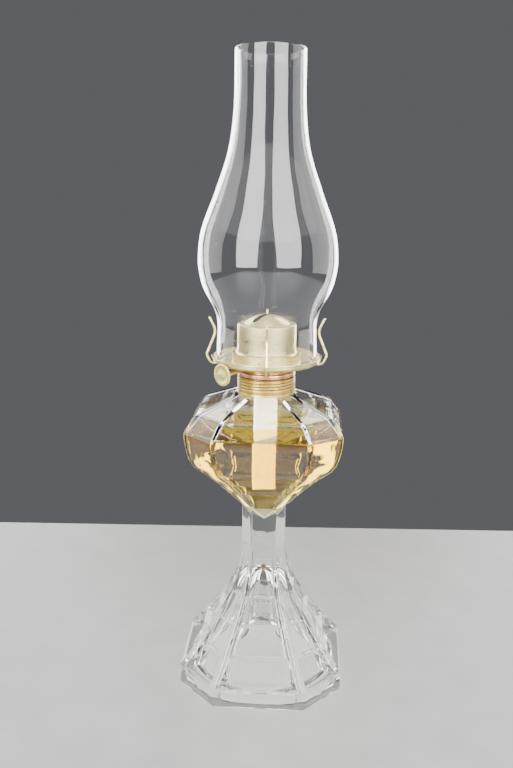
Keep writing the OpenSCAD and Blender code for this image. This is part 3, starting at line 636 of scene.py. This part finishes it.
def flame_deflector():
    """Thimble over the wick tube, with a slot across its dome for the flame."""
    n = 144
    dome_h = DOME_TOP_Z - DEFLECTOR_TOP_Z
    big = (DOME_R ** 2 + dome_h ** 2) / (2 * dome_h)
    half_angle = math.asin(DOME_R / big)

    def side(inset):
        path = [
            (DEFLECTOR_R + SKIRT_FLARE + 0.6 - inset, FLANGE_Z + SHEET - inset * 0.9),
            (DEFLECTOR_R + SKIRT_FLARE * 0.55 - inset, FLANGE_Z + SHEET + 0.7),
            (DEFLECTOR_R + SKIRT_FLARE * 0.2 - inset, FLANGE_Z + SHEET + 2.0),
            (DEFLECTOR_R - inset, FLANGE_Z + SHEET + 4),
        ]
        shoulder = 1.5
        path += [(DEFLECTOR_R - shoulder + (shoulder - inset) * math.cos(a),
                  DEFLECTOR_TOP_Z - shoulder + (shoulder - inset) * math.sin(a))
                 for a in (math.radians(15 * k) for k in range(7))]
        path += [((big - inset) * math.sin(t), DOME_TOP_Z - big + (big - inset) * math.cos(t))
                 for t in (half_angle * k / 16 for k in range(16, 0, -1))]
        return path

    outer = [(FLANGE_R, FLANGE_Z + 0.15), (FLANGE_R - 0.1, FLANGE_Z + SHEET)] + side(0)
    inner = [(FLANGE_R - 0.15, FLANGE_Z)] + side(SHEET)
    rings = [circle_ring(r, z, n) for r, z in reversed(outer)]
    rings += [circle_ring(r, z, n) for r, z in inner]
    points, faces = skin(rings, Vector((0, 0, DOME_TOP_Z)), Vector((0, 0, DOME_TOP_Z - SHEET)))
    dome = finish_mesh("flame_deflector", points, faces, 40)
    cutter = slot_block()
    cut = dome.modifiers.new("slot", "BOOLEAN")
    cut.operation = "DIFFERENCE"
    cut.solver = "EXACT"
    cut.object = cutter
    bake_modifiers(dome)
    bpy.data.objects.remove(cutter)
    dome.data.shade_smooth()
    dome.data.set_sharp_from_angle(angle=math.radians(40))
    return dome


def slot_block():
    """Upright block with round ends, as big as the flame slot."""
    r = SLOT_W / 2
    ring = []
    for sign in (1, -1):
        for k in range(13):
            a = math.radians(-90 + 15 * k) if sign > 0 else math.radians(90 + 15 * k)
            ring.append(Vector((sign * (SLOT_LEN / 2 - r) + r * math.cos(a), r * math.sin(a), 0)))
    rings = [[shaft_frame() @ p + Vector((0, 0, z)) for p in ring]
             for z in (DEFLECTOR_TOP_Z + 0.3, DOME_TOP_Z + 2)]
    points, faces = skin(rings)
    return finish_mesh("slot_block", points, faces)


def bake_modifiers(piece):
    """piece keeps the mesh that its modifiers make, and loses the modifiers."""
    graph = bpy.context.evaluated_depsgraph_get()
    shaped = bpy.data.meshes.new_from_object(piece.evaluated_get(graph))
    piece.modifiers.clear()
    piece.data = shaped


# Prongs of springy wire

WIRE_R = 0.85
PRONG_ROOT_R = INNER_COLLAR_R + 2.2
PRONG_Z = GALLERY_Z - WIRE_R - 1.2
CROSS_BAR = 6.6
PRONG_TIP = 10.5
PRONG_BENDS = (0.0, 3.4, 5.0, 9.0)


def prong_path():
    """Centreline of a prong's wire in the plane (r, z), with round bends."""
    elbow_low_r = GALLERY_R + 1.4
    elbow_r = GALLERY_R + LIP_W + WIRE_R + 3.2
    elbow_z = GALLERY_Z + 3.8
    touch_z = GALLERY_Z + SHEET + 21.4
    inset = PRONG_BENDS[3] * (1 / math.cos(math.radians(23.5)) - 1)
    touch_r = CHIMNEY_FOOT_R + 0.2 + WIRE_R - inset
    tip = math.radians(26)
    points = [
        (PRONG_ROOT_R, PRONG_Z), (elbow_low_r, PRONG_Z), (elbow_r, elbow_z), (touch_r, touch_z),
        (touch_r + PRONG_TIP * math.sin(tip), touch_z + PRONG_TIP * math.cos(tip)),
    ]
    points = [Vector(p) for p in points]
    path = [points[0]]
    for i in range(1, len(points) - 1):
        before = (points[i - 1] - points[i]).normalized()
        after = (points[i + 1] - points[i]).normalized()
        half = before.angle(after) / 2
        reach = PRONG_BENDS[i] / math.tan(half)
        centre = points[i] + (before + after).normalized() * PRONG_BENDS[i] / math.sin(half)
        a, b = points[i] + before * reach - centre, points[i] + after * reach - centre
        turn = a.angle_signed(b)
        cuts = 10
        for k in range(cuts + 1):
            t = -turn * k / cuts
            c, s = math.cos(t), math.sin(t)
            path.append(centre + Vector((a.x * c - a.y * s, a.x * s + a.y * c)))
    return path + [points[-1]]


def prong_wire(name, azimuth):
    angle = BURNER_TURN + math.radians(azimuth)
    out, across = Vector((math.cos(angle), math.sin(angle), 0)), Vector((-math.sin(angle), math.cos(angle), 0))
    line = [out * p.x + Vector((0, 0, p.y)) for p in prong_path()]
    points, faces = tube_along(line, WIRE_R)
    bar_start = out * PRONG_ROOT_R + Vector((0, 0, PRONG_Z))
    reach = CROSS_BAR / 2 - WIRE_R
    bar = [bar_start + across * reach * t for t in (-1, -0.5, 0, 0.5, 1)]
    bar[2] = bar[2] + out * 1e-4
    more, more_faces = tube_along(bar, WIRE_R)
    shift = len(points)
    faces += [tuple(i + shift for i in f) for f in more_faces]
    return finish_mesh(name, points + more, faces, 60)


# Knob

SHAFT_Y = 4.6
SHAFT_Z = (low("thumbwheel").z + high("thumbwheel").z) / 2
THUMB_R = 8.0
THUMB_T = 1.3
THUMB_X = GALLERY_R + LIP_W + 0.5 + THUMB_T / 2
HUB_LEN = 18.0
KNURLS = 60


def thumb_disc():
    """Flat knob with a finely knurled edge, dished faces and a long tapered hub."""
    n = KNURLS * 4
    half = THUMB_T / 2
    knurl = 0.25
    outline = [
        (THUMB_X - half - HUB_LEN, 1.25, 0), (THUMB_X - half - 1.2, 2.05, 0), (THUMB_X - half - 0.3, 2.3, 0),
        (THUMB_X - half + 0.3, 2.9, 0), (THUMB_X - half + 0.3, 5.6, 0), (THUMB_X - half, 6.2, 0),
        (THUMB_X - half, 7.3, 0), (THUMB_X - half + 0.25, 7.85, 1), (THUMB_X + half - 0.25, 7.85, 1),
        (THUMB_X + half, 7.3, 0), (THUMB_X + half, 6.2, 0), (THUMB_X + half - 0.3, 5.6, 0),
        (THUMB_X + half - 0.3, 2.9, 0), (THUMB_X + half, 2.3, 0), (THUMB_X + half, 1.02, 0),
        (THUMB_X - half - HUB_LEN, 1.02, 0),
    ]
    rings = []
    for x, r, ribbed in outline:
        ring = []
        for j in range(n):
            a = math.tau * j / n
            edge = (THUMB_R - 7.85) * math.cos(KNURLS * a) - knurl * 0.2 if ribbed else 0
            ring.append(Vector((x, (r + edge) * math.cos(a), (r + edge) * math.sin(a))))
        rings.append([shaft_frame() @ (p + Vector((0, SHAFT_Y, SHAFT_Z))) for p in ring])
    points, faces = skin(rings, joined=True)
    return finish_mesh("thumb_disc", points, faces, 40)


# Wick

WICK_W = 25.4
WICK_T = 2.4
YARN = 1.27


def wick_tape():
    """Flat woven cotton tape, with ribs across it and a worn, uneven end."""
    random.seed(7)
    bottom, top = low("wick").z, high("wick").z
    columns, rows = 40, 150
    straight = WICK_W - WICK_T
    rings = []
    radius = WICK_T / 2
    outline = [(-straight / 2 + straight * k / (columns - 1), radius) for k in range(columns)]
    outline += [(straight / 2 + radius * math.sin(a), radius * math.cos(a))
                for a in (math.radians(30 * k) for k in range(1, 6))]
    outline += [(straight / 2 - straight * k / (columns - 1), -radius) for k in range(columns)]
    outline += [(-straight / 2 - radius * math.sin(a), -radius * math.cos(a))
                for a in (math.radians(30 * k) for k in range(1, 6))]
    for i in range(rows + 1):
        z = bottom + (top - bottom) * i / rows
        ring = []
        for x, y in outline:
            weave = 0.1 * math.cos(math.tau * x / YARN) * math.cos(math.tau * z / (YARN * 1.4))
            thin = 1 - (0.1 + weave) / radius * 0.8
            frayed = noise.noise(Vector((x * 0.9, y * 0.9, 3.1))) * 0.5 - 0.35 if i == rows else 0
            ring.append(shaft_frame() @ Vector((x, y * thin, z + frayed)))
        rings.append(ring)
    points, faces = skin(rings)
    return finish_mesh("wick_tape", points, faces, 60)


# Materials

def node_material(name):
    material = bpy.data.materials.new(name)
    material.use_nodes = True
    tree = material.node_tree
    return material, tree, tree.nodes["Principled BSDF"]


def add(tree, kind, **values):
    """New node whose properties and unlinked sockets take the given values."""
    made = tree.nodes.new(kind)
    for key, value in values.items():
        socket = key.replace("_", " ").title()
        if hasattr(made, key):
            setattr(made, key, value)
        else:
            made.inputs[socket].default_value = value
    return made


def noise_of(tree, scale, detail=4.0, distortion=0.0, stretch=(1, 1, 1)):
    """Noise in the piece's own metres, scale features a metre."""
    place = add(tree, "ShaderNodeTexCoord")
    mapping = add(tree, "ShaderNodeMapping", Scale=stretch)
    made = add(tree, "ShaderNodeTexNoise", Scale=scale, Detail=detail, Distortion=distortion)
    tree.links.new(place.outputs["Object"], mapping.inputs["Vector"])
    tree.links.new(mapping.outputs["Vector"], made.inputs["Vector"])
    return made.outputs["Fac"]


def ramp(tree, source, stops):
    made = add(tree, "ShaderNodeValToRGB")
    elements = made.color_ramp.elements
    while len(elements) < len(stops):
        elements.new(0.5)
    for element, (at, colour) in zip(elements, stops):
        element.position = at
        element.color = (*colour, 1)
    tree.links.new(source, made.inputs["Fac"])
    return made.outputs["Color"]


def spread(tree, source, low_value, high_value, start=0.3, end=0.7):
    made = add(tree, "ShaderNodeMapRange")
    made.inputs["From Min"].default_value = start
    made.inputs["From Max"].default_value = end
    made.inputs["To Min"].default_value = low_value
    made.inputs["To Max"].default_value = high_value
    tree.links.new(source, made.inputs["Value"])
    return made.outputs["Result"]


def bump(tree, heights, shader):
    """Bumps the shader by several (height, strength, distance) in turn."""
    before = None
    for height, strength, distance in heights:
        made = add(tree, "ShaderNodeBump", Strength=strength, Distance=distance)
        tree.links.new(height, made.inputs["Height"])
        if before is not None:
            tree.links.new(before, made.inputs["Normal"])
        before = made.outputs["Normal"]
    tree.links.new(before, shader.inputs["Normal"])


def lets_lamps_through(tree, shader, tint):
    """Rays towards lamps pass the glass straight, tinted, so that what is inside it is lit."""
    output = tree.nodes["Material Output"]
    path = add(tree, "ShaderNodeLightPath")
    clear = add(tree, "ShaderNodeBsdfTransparent")
    clear.inputs["Color"].default_value = (*tint, 1)
    mix = add(tree, "ShaderNodeMixShader")
    tree.links.new(path.outputs["Is Shadow Ray"], mix.inputs["Fac"])
    tree.links.new(shader.outputs["BSDF"], mix.inputs[1])
    tree.links.new(clear.outputs["BSDF"], mix.inputs[2])
    tree.links.new(mix.outputs["Shader"], output.inputs["Surface"])


def clear_liquid(name, ior, colour, density, shadow, waves, rough):
    """Glass or oil with absorption in its depth, slow waves over its surface and a trace of haze."""
    material, tree, shader = node_material(name)
    shader.inputs["Base Color"].default_value = (1, 1, 1, 1)
    shader.inputs["Transmission Weight"].default_value = 1
    shader.inputs["IOR"].default_value = ior
    haze = noise_of(tree, 45, 6)
    tree.links.new(spread(tree, haze, rough[0], rough[1], 0.45, 0.75), shader.inputs["Roughness"])
    bump(tree, [(noise_of(tree, scale, detail), strength, distance) for scale, detail, strength, distance in waves],
         shader)
    if density:
        inside = add(tree, "ShaderNodeVolumeAbsorption")
        inside.inputs["Color"].default_value = (*colour, 1)
        inside.inputs["Density"].default_value = density
        tree.links.new(inside.outputs["Volume"], tree.nodes["Material Output"].inputs["Volume"])
    lets_lamps_through(tree, shader, shadow)
    return material


def metal(name, clean, dull, dark, rough=(0.22, 0.42), patina=0.5, scratch=0.25):
    """Old sheet metal: clean and dulled patches, dark specks scattered at random, fine scratches."""
    material, tree, shader = node_material(name)
    shader.inputs["Metallic"].default_value = 1
    patches = noise_of(tree, 55, 6, 0.6)
    specks = noise_of(tree, 420, 5)
    base = ramp(tree, patches, [(0.5 - patina * 0.2, clean), (0.5 + patina * 0.25, dull)])
    mix = add(tree, "ShaderNodeMix", data_type="RGBA")
    tree.links.new(spread(tree, specks, 0, 0.8, 0.58, 0.75), mix.inputs["Factor"])
    tree.links.new(base, mix.inputs[6])
    mix.inputs[7].default_value = (*dark, 1)
    tree.links.new(mix.outputs[2], shader.inputs["Base Color"])
    tree.links.new(spread(tree, patches, *rough), shader.inputs["Roughness"])
    scratches = noise_of(tree, 700, 3, 0.0, (1, 1, 0.06))
    bump(tree, [(scratches, scratch, 0.00004), (noise_of(tree, 120, 4), 0.25, 0.0001)], shader)
    return material


def plaster():
    material, tree, shader = node_material("old_plaster")
    colour = ramp(tree, noise_of(tree, 180, 6), [(0.35, (0.62, 0.58, 0.5)), (0.65, (0.84, 0.82, 0.76))])
    tree.links.new(colour, shader.inputs["Base Color"])
    shader.inputs["Roughness"].default_value = 0.9
    bump(tree, [(noise_of(tree, 900, 4), 0.5, 0.0002)], shader)
    return material


def cotton():
    """Woven cotton, oil-soaked cream, scorched at its upper end."""
    material, tree, shader = node_material("wick_cotton")
    place = add(tree, "ShaderNodeTexCoord")
    split = add(tree, "ShaderNodeSeparateXYZ")
    tree.links.new(place.outputs["Object"], split.inputs["Vector"])
    top = high("wick").z * MM
    scorch = spread(tree, split.outputs["Z"], 0, 1, top - 0.006, top - 0.0005)
    mottled = ramp(tree, noise_of(tree, 300, 5), [(0.3, (0.72, 0.66, 0.52)), (0.7, (0.86, 0.82, 0.72))])
    mix = add(tree, "ShaderNodeMix", data_type="RGBA")
    tree.links.new(scorch, mix.inputs["Factor"])
    tree.links.new(mottled, mix.inputs[6])
    mix.inputs[7].default_value = (0.05, 0.035, 0.025, 1)
    tree.links.new(mix.outputs[2], shader.inputs["Base Color"])
    shader.inputs["Roughness"].default_value = 0.85
    bump(tree, [(noise_of(tree, 2200, 3, 0, (1, 1, 0.4)), 0.6, 0.0002)], shader)
    return material


def dress(piece, material):
    piece.data.materials.clear()
    piece.data.materials.append(material)


# Stage

LAMP_YAW = math.radians(2.821)

TABLE_BACK = 257.0
TABLE_FRONT = 1300.0
TABLE_SIDE = 900.0


def floor():
    """Pale table top, whose back edge lies behind the lamp as in the photograph."""
    points = [(-TABLE_SIDE, -TABLE_FRONT, 0), (TABLE_SIDE, -TABLE_FRONT, 0),
              (TABLE_SIDE, TABLE_BACK, 0), (-TABLE_SIDE, TABLE_BACK, 0)]
    turn = Matrix.Rotation(LAMP_YAW, 3, "Z")
    piece = finish_mesh("floor", [turn @ Vector(p) for p in points], [(0, 1, 2, 3)])
    material, tree, shader = node_material("pale_floor")
    colour = ramp(tree, noise_of(tree, 30, 5), [(0.3, (0.145, 0.145, 0.147)), (0.7, (0.165, 0.165, 0.165))])
    tree.links.new(colour, shader.inputs["Base Color"])
    shader.inputs["Roughness"].default_value = 0.55
    dress(piece, material)



def camera():
    """Camera of the photograph, turned about the lamp so that the lamp's own axes stay put."""
    pan, pitch, roll = math.radians(-0.743), math.radians(14.038), math.radians(0.660)
    forward = Vector((math.sin(pan) * math.cos(pitch), math.cos(pan) * math.cos(pitch), -math.sin(pitch)))
    right = Vector((math.cos(pan), -math.sin(pan), 0))
    up = right.cross(forward)
    across = math.cos(roll) * right + math.sin(roll) * up
    upward = math.cos(roll) * up - math.sin(roll) * right
    turn = Matrix.Rotation(LAMP_YAW, 3, "Z")
    axes = Matrix((across, upward, -forward)).transposed()
    data = bpy.data.cameras.new("camera")
    data.sensor_width = 36
    data.lens = 36.25
    data.clip_start = 0.01
    made = bpy.data.objects.new("camera", data)
    bpy.context.scene.collection.objects.link(made)
    made.matrix_world = (turn @ axes).to_4x4()
    made.location = turn @ (Vector((0, -557.778, 371.169)) * MM)
    bpy.context.scene.camera = made


def soft_box(name, azimuth, distance, height, aim_z, width, tall, power, through_glass=False):
    """Rectangular lamp that faces the object. Azimuth 0 is at the front and turns to the right.

    No lamp shows itself to the camera, and most aren't seen through the glass either, because the
    chimney would turn white before them. The two rim lamps are, and brighten the fount.
    """
    a = math.radians(azimuth)
    data = bpy.data.lights.new(name, "AREA")
    data.shape = "RECTANGLE"
    data.size, data.size_y = width, tall
    data.energy = power
    made = bpy.data.objects.new(name, data)
    bpy.context.scene.collection.objects.link(made)
    made.location = (math.sin(a) * distance, -math.cos(a) * distance, height)
    made.visible_camera = False
    made.visible_transmission = through_glass
    aim = Vector((0, 0, aim_z)) - made.location
    made.rotation_euler = aim.to_track_quat("-Z", "Y").to_euler()


LIGHT_BOUNCES = 24


def studio():
    soft_box("left_box", -31, 1.25, 0.78, 0.4, 0.86, 1.3, 84)
    soft_box("right_box", 36, 1.25, 0.78, 0.4, 1.0, 1.3, 90)
    soft_box("left_fill", -95, 1.2, 0.6, 0.3, 0.9, 1.3, 16)
    soft_box("right_fill", 97, 1.2, 0.6, 0.3, 0.9, 1.3, 16)
    soft_box("left_rim", -148, 1.0, 0.5, 0.2, 0.45, 1.2, 14, through_glass=True)
    soft_box("right_rim", 150, 1.0, 0.5, 0.2, 0.45, 1.2, 14, through_glass=True)
    soft_box("top_box", 10, 0.3, 1.5, 0.2, 0.9, 0.9, 16)
    bpy.context.scene.cycles.max_bounces = LIGHT_BOUNCES
    bpy.context.scene.cycles.transmission_bounces = LIGHT_BOUNCES
    world = bpy.data.worlds.new("studio")
    bpy.context.scene.world = world
    world.use_nodes = True
    world.node_tree.nodes["Background"].inputs["Color"].default_value = (0.115, 0.117, 0.125, 1)
    world.node_tree.nodes["Background"].inputs["Strength"].default_value = 1.0


# The object

def build():
    clear = clear_liquid("pressed_clear_glass", 1.51, (0.8, 0.93, 0.68), 4.0, (0.93, 0.95, 0.92),
                         [(70, 2, 0.25, 0.0006), (260, 3, 0.12, 0.0002)], (0.0, 0.03))
    thin = clear_liquid("blown_chimney_glass", 1.5, (0.86, 0.93, 0.9), 1.5, (0.95, 0.96, 0.96),
                        [(40, 2, 0.15, 0.0005)], (0.0, 0.02))
    oil = clear_liquid("amber_oil", 1.44, (0.994, 0.9, 0.02), 55.0, (1.0, 0.9, 0.4),
                       [(25, 1, 0.05, 0.0004)], (0.0, 0.0))
    aged = metal("aged_brass", (0.44, 0.3, 0.07), (0.22, 0.14, 0.035), (0.07, 0.042, 0.015), (0.25, 0.5), 0.7)
    pale = metal("pale_brass", (0.86, 0.76, 0.42), (0.66, 0.56, 0.26), (0.3, 0.24, 0.1), (0.22, 0.4), 0.5)
    knob = metal("knob_brass", (0.78, 0.69, 0.26), (0.6, 0.51, 0.17), (0.2, 0.16, 0.06), (0.25, 0.45), 0.5)
    copper = metal("copper_plate", (0.62, 0.33, 0.2), (0.44, 0.21, 0.12), (0.15, 0.07, 0.04), (0.2, 0.4), 0.6)
    cloth = cotton()

    made = [
        (pressed_glass(), clear, "clear_glass", "base", ("glass_foot", "glass_fount")),
        (kerosene(), oil, "lamp_oil", "base", ("lamp_oil",)),
        (collar_thread(), aged, "aged_brass", "base", ("screw_collar",)),
        (chimney_glass(), thin, "chimney_glass", "chimney", ("chimney",)),
        (gallery_dish(), pale, "pale_brass", "burner", ("gallery",)),
        (flame_deflector(), pale, "pale_brass", "burner", ("deflector",)),
        (thumb_disc(), knob, "knob_brass", "knob", ("thumbwheel",)),
        (wick_tape(), cloth, "wick_cotton", "wick", ("wick",)),
    ]
    for name, azimuth in (("front", -90), ("right", 0), ("back", 90), ("left", 180)):
        made.append((prong_wire(f"wire_{name}", azimuth), pale, "pale_brass", f"prong_{name}", (f"prong_{name}",)))
    for piece, material, slot, body, nodes in made:
        dress(piece, material)
        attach(piece, body)
        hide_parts(*nodes)

    kept = {
        "collar_plaster": plaster(), "bead_ring": copper, "wick_shaft": pale,
    }
    for node in ("screw_shell", "air_basket", "draft_plate", "prong_clips", "wick_tube", "vent_tube",
                 "wheel_housing", "spur_wheels"):
        kept[node] = aged
    for node, material in kept.items():
        dress(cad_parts[node], material)


build()
floor()
camera()
studio()
